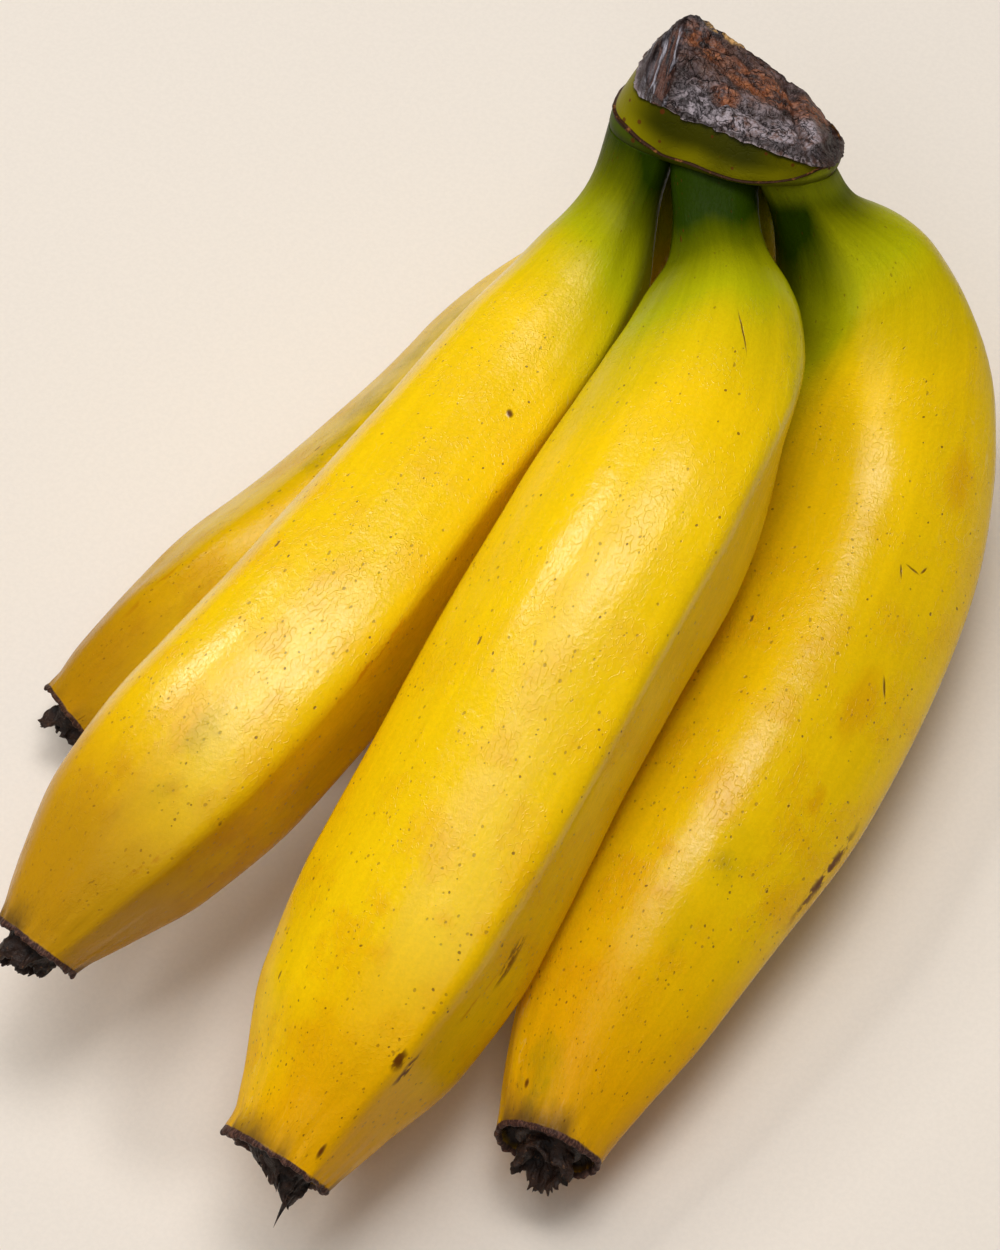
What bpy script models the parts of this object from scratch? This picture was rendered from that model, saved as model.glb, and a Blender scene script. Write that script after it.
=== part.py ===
"""Bunch of five bananas, picked and lying on its back.

One cut crown sits over five curved bananas in two rows: three in the upper
row, two in the lower row.  The lower row and the right-hand banana rest on
the surface at z = 0, and the other two lie over the lower row.  Every banana
ends in a dried, dark blossom end.
"""
from math import atan2, cos, exp, pi, radians, sin

import bpy
import bmesh
from mathutils import Matrix, Vector

MM = 0.001

# ---- Crown: the cut cushion that all the necks grow from (mm, degrees) ----
CROWN_CENTRE = Vector((3.95, 87.66, 62.8))
CROWN_FACING = Vector((-0.063, 0.434, 0.899)).normalized()
CROWN_ALONG = Vector((0.988, 0.156, -0.006)).normalized()
CROWN_HALF_LENGTH = 19.6
CROWN_HALF_DEPTH = 11.9
CROWN_SQUARENESS = 2.7
CROWN_THICK = 8.0
CROWN_WEDGE = -0.13
CUT_RISE = 0.17
CUT_TWIST = -0.019
FRONT_HINGE = 8.0
CUT_INSET_FRONT = 0.11
CUT_INSET_BACK = 0.19
CUT_RELIEF = 0.28
CROWN_POINTS = 36
CROWN_PROFILE = (
    (0.0, 1.0), (0.12, 1.012), (0.45, 0.985), (0.8, 0.93), (1.0, 0.86), (1.0, 0.53),
    (1.0, 0.26),
)

# ---- Shared by all the bananas ----
JOINT_GAP = 0.3
BEND_STATIONS = (0.0, 0.08, 0.20, 0.38, 0.60, 0.82, 1.0)
GIRTH_STATIONS = (0.0, 0.04, 0.09, 0.16, 0.25, 0.40, 0.60, 0.75, 0.86, 0.94, 1.0)
RING_STATIONS = (
    0.0, 0.03, 0.06, 0.09, 0.12, 0.15, 0.18, 0.22, 0.27, 0.33, 0.39, 0.45, 0.51,
    0.57, 0.63, 0.69, 0.74, 0.79, 0.835, 0.875, 0.91, 0.94, 0.965, 0.985, 1.0,
)
POINTS_PER_FACET = 4
PATH_STEPS = 240
RIDGE_RISE = 0.055
RIDGE_TIGHTNESS = 9.0
NECK_BLEND = 0.13
NECK_SQUARENESS = 2.6

# ---- Dried blossom ends ----
BLOSSOM_LOBES = 6
BLOSSOM_POINTS = 18
BLOSSOM_PROFILE = ((0.0, 0.95, 0.0), (0.30, 1.0, 0.05), (0.62, 0.74, 0.14), (1.0, 0.38, 0.24))

# Each banana: where its neck meets the crown (along, across), the half size
# of the neck there, its length, its heading (degrees from +X) and its dip
# below level at the bend stations, its half width at the girth stations, and
# the angles of its five ridges from the top, clockwise seen from the tip,
# and how wide (against the tip) and thick its dried blossom end is.
BANANAS = {
    "banana_upper_left": {
        "neck": (-13.2, -5.7),
        "neck_half": (5.5, 5.3),
        "length": 173.6,
        "heading": (-93, -93, -101, -99, -103, -109, -103.5),
        "dip": (57.5, 37.5, 14.5, -1, 2.5, 10, 14.5),
        "girth": (5.6, 6.2, 8.3, 11.7, 14.8, 16.2, 17.8, 18.2, 16.0, 11.3, 6.8),
        "ridges": (40, 112, 184, 256, 322),
        "blossom": (0.80, 4.4),
    },
    "banana_upper_middle": {
        "neck": (-0.6, -5.7),
        "neck_half": (6.6, 5.3),
        "length": 187.0,
        "heading": (-67.5, -63.5, -79, -94.3, -95.1, -97.4, -98.5),
        "dip": (28.5, 13.5, 3, 6.5, 15.5, 17.5, 11.5),
        "girth": (6.6, 6.8, 8.5, 13.8, 17.2, 19.5, 19.5, 19.8, 17.4, 12.2, 8.5),
        "ridges": (50, 124, 190, 236, 286),
        "blossom": (0.80, 5.0),
    },
    "banana_upper_right": {
        "neck": (13.3, -5.5),
        "neck_half": (6.2, 5.3),
        "length": 193.8,
        "heading": (-11, -9.5, -53, -82.7, -95.7, -95.8, -85),
        "dip": (61, 55.5, 40.5, 8, 1.5, 4, -0.5),
        "girth": (7.0, 9.4, 12.7, 16.2, 18.5, 20.2, 20.2, 18.2, 15.6, 11.8, 8.2),
        "ridges": (78, 140, 205, 240, 305),
        "blossom": (0.95, 3.6),
    },
    "banana_lower_left": {
        "neck": (-10.4, 5.8),
        "neck_half": (6.4, 5.0),
        "length": 161.8,
        "heading": (-140.5, -138.5, -117.5, -103, -110.5, -119, -120),
        "dip": (65, 66.5, 54, 12.5, -1.5, 5.5, 13.5),
        "girth": (6.4, 6.5, 6.5, 7.7, 10.6, 15.2, 16.0, 15.8, 13.8, 10.9, 7.6),
        "ridges": (0, 72, 144, 216, 288),
        "blossom": (0.82, 4.2),
    },
    "banana_lower_middle": {
        "neck": (3.8, 5.7),
        "neck_half": (7.4, 5.0),
        "length": 156.0,
        "heading": (-87, -77, -76.5, -88.5, -91.5, -94.5, -96.5),
        "dip": (74, 73, 55, 12.5, -0.5, 3.5, 5.5),
        "girth": (6.4, 6.5, 6.8, 7.9, 10.3, 14.5, 16.0, 14.8, 12.6, 9.6, 6.8),
        "ridges": (0, 72, 144, 216, 288),
        "blossom": (0.82, 4.2),
    },
}

PEEL_COLOUR = (0.80, 0.56, 0.04, 1.0)
CROWN_COLOUR = (0.10, 0.07, 0.045, 1.0)
BLOSSOM_COLOUR = (0.035, 0.022, 0.015, 1.0)

CROWN_ACROSS = CROWN_FACING.cross(CROWN_ALONG).normalized()
CROWN_TURN = Matrix((CROWN_ALONG, CROWN_ACROSS, CROWN_FACING)).transposed()


def clear_scene():
    for obj in list(bpy.data.objects):
        bpy.data.objects.remove(obj, do_unlink=True)


def make_material(name, colour, roughness):
    material = bpy.data.materials.new(name)
    material.use_nodes = True
    shader = material.node_tree.nodes["Principled BSDF"]
    shader.inputs["Base Color"].default_value = colour
    shader.inputs["Roughness"].default_value = roughness
    return material


def spline(stations, values, at):
    """A natural cubic through the values, taken at one place."""
    n = len(stations)
    gaps = [stations[i + 1] - stations[i] for i in range(n - 1)]
    slopes = [(values[i + 1] - values[i]) / gaps[i] for i in range(n - 1)]
    second = [0.0] * n
    ratio = [0.0] * n
    for i in range(1, n - 1):
        pivot = 2 * (gaps[i - 1] + gaps[i]) - gaps[i - 1] * ratio[i - 1]
        ratio[i] = gaps[i] / pivot
        second[i] = (6 * (slopes[i] - slopes[i - 1]) - gaps[i - 1] * second[i - 1]) / pivot
    for i in range(n - 2, 0, -1):
        second[i] -= ratio[i] * second[i + 1]
    i = 0
    while i < n - 2 and at > stations[i + 1]:
        i += 1
    h = gaps[i]
    a = (stations[i + 1] - at) / h
    b = (at - stations[i]) / h
    bend = ((a ** 3 - a) * second[i] + (b ** 3 - b) * second[i + 1]) * h * h / 6
    return a * values[i] + b * values[i + 1] + bend


def eased(stations, values, at):
    """Values joined with level-headed curves that never overshoot."""
    i = 0
    while i < len(stations) - 2 and at > stations[i + 1]:
        i += 1

    def slope(k):
        if k == 0 or k == len(values) - 1:
            j = min(k, len(values) - 2)
            return (values[j + 1] - values[j]) / (stations[j + 1] - stations[j])
        before = (values[k] - values[k - 1]) / (stations[k] - stations[k - 1])
        after = (values[k + 1] - values[k]) / (stations[k + 1] - stations[k])
        if before * after <= 0:
            return 0.0
        return 2 * before * after / (before + after)

    h = stations[i + 1] - stations[i]
    t = (at - stations[i]) / h
    start = (2 * t ** 3 - 3 * t ** 2 + 1) * values[i] + (t ** 3 - 2 * t ** 2 + t) * h * slope(i)
    end = (3 * t ** 2 - 2 * t ** 3) * values[i + 1] + (t ** 3 - t ** 2) * h * slope(i + 1)
    return start + end


def smooth(t):
    t = min(max(t, 0.0), 1.0)
    return t * t * (3 - 2 * t)


def direction(spec, at):
    heading = radians(spline(BEND_STATIONS, spec["heading"], at))
    dip = radians(spline(BEND_STATIONS, spec["dip"], at))
    return Vector((cos(dip) * cos(heading), cos(dip) * sin(heading), -sin(dip)))


def centre_line(spec):
    """Points along the middle of a banana, one for each path step."""
    along, across = spec["neck"]
    point = CROWN_CENTRE + CROWN_ALONG * along + CROWN_ACROSS * across
    points = [point - CROWN_FACING * JOINT_GAP]
    step = spec["length"] / PATH_STEPS
    for i in range(PATH_STEPS):
        points.append(points[-1] + direction(spec, (i + 0.5) / PATH_STEPS) * step)
    return points


def at_station(points, station):
    place = station * PATH_STEPS
    i = min(int(place), PATH_STEPS - 1)
    return points[i].lerp(points[i + 1], place - i)


def ridge_angles(spec):
    """Section angles with every ridge on a point and even steps between."""
    ridges = list(spec["ridges"])
    angles = []
    for i, first in enumerate(ridges):
        after = ridges[(i + 1) % len(ridges)]
        if after <= first:
            after += 360
        for k in range(POINTS_PER_FACET):
            angles.append(radians(first + (after - first) * k / POINTS_PER_FACET))
    return angles


def section_scale(spec, angle, strength):
    rise = 0.0
    for ridge in spec["ridges"]:
        rise += exp(RIDGE_TIGHTNESS * (cos(angle - radians(ridge)) - 1))
    mean = len(spec["ridges"]) * 0.135
    return 1 + strength * RIDGE_RISE * (rise - mean)


def superellipse(angle, half_length, half_depth, squareness):
    c, s = cos(angle), sin(angle)
    reach = (abs(c) ** squareness + abs(s) ** squareness) ** (-1 / squareness)
    return c * reach * half_length, s * reach * half_depth


def banana_rings(spec):
    points = centre_line(spec)
    angles = ridge_angles(spec)
    half_along, half_across = spec["neck_half"]
    rings = []
    for station in RING_STATIONS:
        centre = at_station(points, station)
        forward = direction(spec, station)
        top = (Vector((0, 0, 1)) - forward * forward.z).normalized()
        side = top.cross(forward)
        girth = eased(GIRTH_STATIONS, spec["girth"], station)
        strength = smooth((station - 0.05) / 0.2)
        neck = 1 - smooth(station / NECK_BLEND)
        ring = []
        for angle in angles:
            reach = girth * section_scale(spec, angle, strength)
            body = centre + (top * cos(angle) + side * sin(angle)) * reach
            if neck > 0:
                offset = body - centre
                offset -= CROWN_FACING * offset.dot(CROWN_FACING)
                turn = atan2(offset.dot(CROWN_ACROSS), offset.dot(CROWN_ALONG))
                a, b = superellipse(turn, half_along, half_across, NECK_SQUARENESS)
                stub = centre + CROWN_ALONG * a + CROWN_ACROSS * b
                body = body.lerp(stub, neck)
            body.z = max(body.z, 0.0)
            ring.append(body)
        rings.append(ring)
    return rings


def tip_placement(spec):
    """Where a banana ends, and the turn that points +Z out of its tip."""
    forward = direction(spec, 1.0)
    top = (Vector((0, 0, 1)) - forward * forward.z).normalized()
    side = forward.cross(top)
    turn = Matrix((top, side, forward)).transposed()
    return centre_line(spec)[-1] + forward * JOINT_GAP, turn


def blossom_rings(spec):
    """A lobed, ragged disc that narrows away from the tip, along +Z."""
    share, thick = spec["blossom"]
    radius = spec["girth"][-1] * share
    rings = []
    for depth, width, lobe in BLOSSOM_PROFILE:
        ring = []
        for k in range(BLOSSOM_POINTS):
            angle = 2 * pi * k / BLOSSOM_POINTS
            reach = radius * width * (1 + lobe * cos(BLOSSOM_LOBES * angle))
            ring.append(Vector((reach * cos(angle), reach * sin(angle), thick * depth)))
        rings.append(ring)
    return rings


def crown_rings():
    """The cushion along +Z, from its underside to its cut face."""
    rings = []
    for level, width in CROWN_PROFILE:
        ring = []
        for k in range(CROWN_POINTS):
            angle = 2 * pi * k / CROWN_POINTS
            a, b = superellipse(
                angle, CROWN_HALF_LENGTH * width, CROWN_HALF_DEPTH * width, CROWN_SQUARENESS
            )
            if a < 0:
                back_share = smooth(0.5 + 0.5 * b / CROWN_HALF_DEPTH)
                a *= 1 - level * (CUT_INSET_FRONT + CUT_INSET_BACK * back_share)
            behind = b + FRONT_HINGE
            height = level * (
                CROWN_THICK + CROWN_WEDGE * a + behind * (CUT_RISE + CUT_TWIST * a)
            )
            if level == 1.0:
                height += CUT_RELIEF * (sin(0.9 * a + 0.5 * b) + cos(1.1 * b - 0.35 * a))
            ring.append(Vector((a, b, height)))
        rings.append(ring)
    return rings


def loft(name, rings, material, root, place, turn=None):
    """One closed body: rings joined in order, with a fan on each end.

    No primitive or modifier runs a section that changes from a squashed neck
    to a ridged body along a curve, so its faces are made here.
    """
    work = bmesh.new()
    rows = [[work.verts.new(point * MM) for point in ring] for ring in rings]
    for near, far in zip(rows, rows[1:]):
        for k in range(len(near)):
            n = (k + 1) % len(near)
            work.faces.new((near[k], near[n], far[n], far[k]))
    for row in (rows[0], rows[-1]):
        middle = Vector()
        for vert in row:
            middle += vert.co
        hub = work.verts.new(middle / len(row))
        for k in range(len(row)):
            work.faces.new((row[k], row[(k + 1) % len(row)], hub))
    bmesh.ops.recalc_face_normals(work, faces=work.faces)
    bmesh.ops.triangulate(work, faces=work.faces)
    mesh = bpy.data.meshes.new(name)
    work.to_mesh(mesh)
    work.free()
    mesh.materials.append(material)
    for face in mesh.polygons:
        face.use_smooth = True
    obj = bpy.data.objects.new(name, mesh)
    root.users_collection[0].objects.link(obj)
    obj.parent = root
    obj.location = place * MM
    if turn is not None:
        obj.rotation_euler = turn.to_euler()
    return obj


def add_banana(name, spec, root):
    neck = centre_line(spec)[0]
    rings = [[point - neck for point in ring] for ring in banana_rings(spec)]
    peel = make_material(name + "_peel", PEEL_COLOUR, 0.42)
    loft(name, rings, peel, root, neck)


def add_blossom_end(name, spec, root):
    place, turn = tip_placement(spec)
    dried = make_material(name + "_dried", BLOSSOM_COLOUR, 0.9)
    loft(name, blossom_rings(spec), dried, root, place, turn)


def main():
    clear_scene()
    collection = bpy.data.collections.new("bunch_of_bananas")
    bpy.context.scene.collection.children.link(collection)
    root = bpy.data.objects.new("bunch_root", None)
    collection.objects.link(root)
    dried = make_material("crown_dried", CROWN_COLOUR, 0.85)
    loft("crown", crown_rings(), dried, root, CROWN_CENTRE, CROWN_TURN)
    for name, spec in BANANAS.items():
        add_banana(name, spec, root)
        add_blossom_end(name.replace("banana", "blossom_end"), spec, root)


main()
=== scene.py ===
"""Bunch of five bananas on one cut crown, with dried blossom ends.

The skins are rolled from flat grids round the same centre lines and girths as
the solid part, and then get their ridges, lips, wrinkles and colours.
Sizes are in millimetres unless a name says otherwise.
"""

from math import cos, pi, radians, sin

import bpy
import numpy as np
from bpy.props import FloatProperty, FloatVectorProperty, IntProperty, PointerProperty
from mathutils import Matrix, Vector, noise


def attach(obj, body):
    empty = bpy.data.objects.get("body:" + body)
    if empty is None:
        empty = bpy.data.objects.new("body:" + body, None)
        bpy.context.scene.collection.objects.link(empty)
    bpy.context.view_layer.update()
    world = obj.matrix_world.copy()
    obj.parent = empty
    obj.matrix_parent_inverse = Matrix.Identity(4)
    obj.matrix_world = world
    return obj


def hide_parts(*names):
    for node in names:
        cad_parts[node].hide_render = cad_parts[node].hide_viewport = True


bl_info = {
    "name": "Banana Bunch",
    "version": (1, 0, 0),
    "blender": (4, 5, 0),
    "location": "3D View > Sidebar > Bananas",
    "description": "Builds a bunch of five bananas on a cut crown, with its studio stage",
    "category": "Add Mesh",
}

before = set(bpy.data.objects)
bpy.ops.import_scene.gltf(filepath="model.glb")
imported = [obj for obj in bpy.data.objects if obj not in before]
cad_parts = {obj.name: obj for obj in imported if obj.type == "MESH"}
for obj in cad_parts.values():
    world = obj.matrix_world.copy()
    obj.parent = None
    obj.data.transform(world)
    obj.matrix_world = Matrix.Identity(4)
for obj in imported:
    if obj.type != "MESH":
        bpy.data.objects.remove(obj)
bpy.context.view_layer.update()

MM = 0.001

# ---- Crown, in its own directions: along its length, across it, and out of the cut ----
CROWN_CENTRE = np.array((3.95, 87.66, 62.8))
CROWN_FACING = np.array(Vector((-0.063, 0.434, 0.899)).normalized())
CROWN_ALONG = np.array(Vector((0.988, 0.156, -0.006)).normalized())
CROWN_ACROSS = np.cross(CROWN_FACING, CROWN_ALONG)
CROWN_HALF_LENGTH = 19.6
CROWN_HALF_DEPTH = 11.9
CROWN_SQUARENESS = 2.7
CROWN_THICK = 8.0
CROWN_WEDGE = -0.13
CUT_RISE = 0.17
CUT_TWIST = -0.019
FRONT_HINGE = 8.0
CUT_INSET_FRONT = 0.11
CUT_INSET_BACK = 0.19
BAND_LEVELS = (0.0, 0.12, 0.45, 0.8, 1.0)
BAND_WIDTHS = (1.0, 1.012, 0.99, 0.945, 0.90)
# Height of the scar line, and how far up the wall the dried cap starts, both by
# the place along the crown.
SCAR_PLACES = (-19.6, -16.6, -12.8, -10.5, -8.1, -3.8, 0.0, 4.4, 8.5, 12.9, 15.5, 17.4, 19.6)
SCAR_HEIGHTS = (2.9, 2.7, 1.6, 1.0, 0.3, 0.4, 0.0, -0.2, 0.1, 0.9, 1.8, 2.5, 2.0)
CAP_PLACES = (-19.6, -17.1, -14.5, -11.9, -7.6, -1.1, 6.6, 10.9, 15.0, 17.0, 19.6)
CAP_LEVELS = (0.80, 0.82, 0.88, 0.95, 0.985, 0.96, 0.86, 0.74, 0.56, 0.45, 0.36)
SCAR_PART = 0.15
CAP_PART = 0.9
# Creases of the left facet and the right lobe: place along the crown, slope across it.
FACET_CREASE = (-10.2, -0.06)
LOBE_CREASE = (11.6, -0.36)
CROWN_STEPS_ROUND = 240
CROWN_FACE_ROWS = 84
# Rows under the crown: share of its outline, and height.
CROWN_FOOT = ((0.0, -0.6), (0.5, -0.6), (0.9, -0.6), (0.99, -0.55))

# ---- Bananas ----
JOINT_GAP = 0.3
PATH_STEPS = 240
BEND_STATIONS = (0.0, 0.08, 0.20, 0.38, 0.60, 0.82, 1.0)
GIRTH_STATIONS = (0.0, 0.04, 0.09, 0.16, 0.25, 0.40, 0.60, 0.75, 0.86, 0.94, 1.0)
NECK_BLEND = 0.13
NECK_SQUARENESS = 3.2
RIDGE_TIGHTNESS = 12
CREST_TIGHTNESS = 90
FACET_SHARPNESS = 50
# Radius of the even tube on which the peel's colours and marks are laid out.
PEEL_RADIUS = 18.0
# Rows that close the neck under the crown: share of its outline.
NECK_CAP = (0.0, 0.5, 0.9)
# The lip that rolls in at a tip: share of the tip's radius, and how far out of it.
LIP_PROFILE = (
    (1.0, 0.0), (1.012, 0.3), (1.008, 0.6), (0.985, 0.85), (0.958, 0.92), (0.93, 0.8),
    (0.905, 0.4), (0.885, -0.2), (0.86, -1.0), (0.80, -1.5), (0.66, -1.8), (0.44, -2.0),
    (0.2, -2.0), (0.0, -2.0),
)
LIP_OUT = 0.92

# What each banana is like, in the order of BANANA_NAMES; a station is a share of its length.
BANANA_NAMES = (
    "banana_upper_left",
    "banana_upper_middle",
    "banana_upper_right",
    "banana_lower_left",
    "banana_lower_middle",
)
BANANA_TRAITS = {
    # Where the neck meets the crown: along it and across it.
    "neck": ((-13.2, -5.7), (-0.6, -5.7), (13.3, -5.5), (-10.4, 5.8), (3.8, 5.7)),
    # Half size of the neck there.
    "neck_half": ((6.4, 6.2), (7.3, 6.2), (7.0, 6.3), (7.8, 6.0), (8.8, 6.0)),
    # How far the neck sways to the side, behind the others.
    "sway": (0.0, 0.0, 0.0, 6.2, -0.8),
    # Length along the centre line.
    "length": (173.6, 187.0, 193.8, 161.8, 156.0),
    # Heading and dip of the centre line at the bend stations, in degrees.
    "heading": (
        (-93, -93, -101, -99, -103, -109, -103.5), (-67.5, -63.5, -79, -94.3, -95.1, -97.4, -98.5),
        (-11, -9.5, -53, -82.7, -95.7, -95.8, -85),
        (-140.5, -138.5, -117.5, -103, -110.5, -119, -120),
        (-87, -77, -76.5, -88.5, -91.5, -94.5, -96.5),
    ),
    "dip": (
        (57.5, 37.5, 14.5, -1, 2.5, 10, 14.5), (28.5, 13.5, 3, 6.5, 15.5, 17.5, 11.5),
        (61, 55.5, 40.5, 8, 1.5, 4, -0.5), (65, 66.5, 54, 12.5, -1.5, 5.5, 13.5),
        (74, 73, 55, 12.5, -0.5, 3.5, 5.5),
    ),
    # Half width at the girth stations.
    "girth": (
        (5.6, 6.2, 8.3, 11.7, 14.8, 16.2, 17.8, 18.2, 16.0, 11.3, 6.8),
        (6.6, 6.8, 8.5, 13.8, 17.2, 19.5, 19.5, 19.8, 17.4, 12.2, 8.5),
        (7.0, 9.4, 12.7, 16.2, 18.5, 20.2, 20.2, 18.2, 15.6, 11.8, 8.2),
        (6.4, 6.5, 6.5, 7.7, 10.6, 15.2, 16.0, 15.8, 13.8, 10.9, 7.6),
        (6.4, 6.5, 6.8, 7.9, 10.3, 14.5, 16.0, 14.8, 12.6, 9.6, 6.8),
    ),
    # Angles of the ridges from the top, and how proud each is.
    "ridges": (
        (48, 112, 184, 256, 322), (50, 124, 190, 236, 286), (78, 140, 205, 240, 305),
        (339, 52, 124, 196, 268), (0, 72, 144, 216, 288),
    ),
    "proud": (
        (1.5, 0.9, 1.0, 1.0, 0.55), (1.6, 1.0, 0.9, 0.9, 1.1), (1.2, 1.0, 0.9, 0.7, 0.8),
        (1.1, 1.0, 0.8, 0.8, 1.0), (1.0, 1.0, 0.8, 0.8, 1.0),
    ),
    # Flat facets: the angle each faces, and how deep it cuts in.
    "facets": (
        ((84, 0.1), (8, 0.035), (285, 0.04)), ((88, 0.1), (-8, 0.035), (262, 0.06)),
        ((112, 0.09), (36, 0.035), (340, 0.03)), ((16, 0.06), (302, 0.06)),
        ((36, 0.05), (324, 0.05)),
    ),
    # How the first ridge wanders: (station, degrees).
    "wander": (
        ((0.0, 0), (0.15, 8), (0.5, 0), (1.0, 2)),
        ((0.2, 13), (0.35, -1), (0.55, -1), (0.75, -7), (0.9, -10), (1.0, -4)),
        ((0.05, -45), (0.12, -43), (0.17, -30), (0.24, -8), (0.4, 0), (1.0, 0)),
        ((0.0, 0), (0.8, 4), (0.9, -4), (1.0, -2)), ((0.0, 0), (1.0, 0)),
    ),
    # How much sooner the green ends at the neck and the gold starts at the tip. The upper middle
    # banana's later green end also keeps painted shade from the crown on its neck.
    "ripe": ((-0.03, 0.06), (0.012, 0.03), (-0.042, 0.05), (-0.02, 0.03), (-0.02, 0.0)),
    # The flank that stays green and dark for longer: its angle and the delay. This is partly the
    # flank's own lingering green and partly painted shade where a neighbour shades it, as on the
    # upper right banana's left flank under the middle one.
    "green_and_shaded_flank": ((80, 0.06), (290, 0.055), (262, 0.11), (60, 0.05), (300, 0.03)),
    # Painted shade: how much darker the body past the neck is drawn; the lower left banana is
    # darkened for lying in the others' shade.
    "painted_shade": ((1.0, 1.0, 1.0), (1.0, 1.0, 1.0), (1.0, 0.99, 1.0), (0.8, 0.8, 0.7), (1.0, 1.0, 1.0)),
    # Dull dry skin at the tip: where it starts, where it is full, its share. On the two left
    # bananas it starts early and is strong, which also paints shade on their lower ends.
    "tan": (
        (0.74, 0.92, 0.7), (0.95, 1.02, 0.15), (0.93, 1.02, 0.4), (0.74, 0.95, 0.6),
        (0.92, 1.02, 0.4),
    ),
    # Where the olive skin under the scar line ends.
    "olive": (0.0, 0.0, 0.034, 0.01, 0.01),
    # Gloss of the peel.
    "gloss": (0.36, 0.28, 0.28, 0.14, 0.2),
    # Which way the lip of the tip flares, and how much.
    "flare": ((300, 0.3), (285, 0.9), (20, 0.25), (250, 0.4), (40, 0.3)),
}
BANANAS = {
    name: {trait: values[place] for trait, values in BANANA_TRAITS.items()}
    for place, name in enumerate(BANANA_NAMES)
}

# Named marks on the peel: (kind, station, degrees from the top, half length,
# half width, degrees turned from lengthwise).
PEEL_MARKS = {
    "banana_upper_left": (
        ("scab", 0.345, 29, 1.1, 0.8, 40),
        ("green", 0.765, 17, 10.0, 4.6, 10),
        ("green", 0.845, 15, 7.0, 3.6, -10),
        ("scuff", 0.62, 50, 12.0, 0.7, 3),
        ("scuff", 0.88, 40, 5.0, 0.7, -12),
    ),
    "banana_upper_middle": (
        ("scratch", 0.206, 19, 5.0, 0.22, 24),
        ("scab", 0.083, -48, 1.1, 0.5, 25),
        ("scab", 0.073, -44, 0.5, 0.4, 0),
        ("blotch", 0.759, 68, 6.0, 2.2, 5),
        ("scuff", 0.80, 60, 8.0, 0.6, -5),
        ("blotch", 0.880, 46, 4.5, 0.9, 4),
        ("blotch", 0.876, 37, 2.6, 1.6, 10),
        ("scab", 0.974, 40, 1.8, 0.8, 12),
        ("green", 0.17, 52, 16.0, 2.6, 4),
    ),
    "banana_upper_right": (
        ("scratch", 0.421, 35, 1.8, 0.28, 80),
        ("scratch", 0.429, 29, 1.6, 0.26, 20),
        ("scratch", 0.416, 41, 1.2, 0.28, -20),
        ("deep", 0.313, 48, 8.0, 3.4, 4),
        ("deep", 0.554, 38, 9.0, 3.6, 0),
        ("scratch", 0.527, 46, 2.2, 0.3, 34),
        ("deep", 0.641, 44, 3.4, 1.5, 6),
        ("green", 0.722, 23, 8.0, 4.0, 0),
        ("green", 0.794, 19, 6.0, 3.4, 10),
        ("green", 0.955, -25, 10.0, 7.0, 0),
        ("green", 0.965, -10, 6.0, 4.0, 0),
        ("scab", 0.965, -34, 1.0, 0.8, 0),
        ("blotch", 0.68, 72, 12.0, 1.0, 2),
    ),
    "banana_lower_left": (
        ("scab", 0.180, -26, 2.6, 0.9, 10),
        ("green", 0.48, -38, 30.0, 8.0, 0),
        ("green", 0.60, -18, 22.0, 4.0, 0),
        ("scuff", 0.86, -20, 9.0, 0.7, 2),
    ),
    "banana_lower_middle": (("scuff", 0.7, 10, 9.0, 0.7, 2),),
}

# ---- Camera and lights ----
VIEW_CENTRE = Vector((-0.15, 3.96, 28.8))
VIEW_TURN = radians(24.0)
VIEW_RISE = radians(62.0)
VIEW_DISTANCE = 650.0
LENS = 112.32
SENSOR = 36.0
# The softboxes' distance and the floor, in metres, and the strength of the world's light.
LIGHT_DISTANCE = 1.4
FLOOR_SIZE = 6.0
FLOOR_DROP = 0.0001
WORLD_LIGHT = 0.03
# Softboxes: name, direction they stand in, size in metres, watts, colour.
LIGHTS = (
    ("key_softbox", (-0.57, 0.215, 0.79), 0.30, 5.4, (1.0, 0.985, 0.96)),
    ("overhead_softbox", (-0.14, 0.06, 0.988), 0.7, 6.2, (1.0, 0.99, 0.98)),
    ("back_softbox", (0.05, 0.21, 0.978), 0.5, 6.0, (1.0, 0.99, 0.98)),
    ("front_softbox", (0.0, -0.5, 0.866), 1.0, 4.9, (1.0, 0.995, 0.99)),
)


def tone(red, green, blue):
    """A screen colour, 0 to 255 a channel, as the linear colour that nodes take."""
    linear = []
    for value in (red, green, blue):
        share = value / 255
        linear.append(share / 12.92 if share <= 0.04045 else ((share + 0.055) / 1.055) ** 2.4)
    return tuple(linear)


# ======================================================================
# Sizes and colours that a user would change
# ======================================================================
def count_property(name, description, default, low, high):
    return IntProperty(name=name, description=description, default=default, min=low, max=high)


def share_property(name, description, default):
    return FloatProperty(name=name, description=description, default=default, subtype="FACTOR")


def length_property(name, description, default):
    """A length in metres."""
    return FloatProperty(
        name=name, description=description, default=default, unit="LENGTH", precision=5
    )


def colour_property(name, description, default):
    return FloatVectorProperty(
        name=name, description=description, default=default, subtype="COLOR", size=3, min=0, max=1
    )


class BunchSizes(bpy.types.PropertyGroup):
    steps_round: count_property("Steps round", "Grid cells round each banana", 112, 40, 160)
    steps_along: count_property("Steps along", "Grid cells along each banana", 330, 120, 420)
    ridge_rise: share_property("Ridge rise", "How far a ridge stands out of the half width", 0.074)
    ridge_crest: share_property("Ridge crest", "Extra sharpness of a ridge's crest", 0.40)
    lumps: length_property("Lumps", "Height of the slow unevenness of a peel", 0.00035)
    wrinkles: length_property("Wrinkles", "Depth of the wrinkles at neck and tip", 0.00016)
    cut_relief: length_property("Cut relief", "Height of the cracks on the dried cut", 0.0010)


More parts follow.
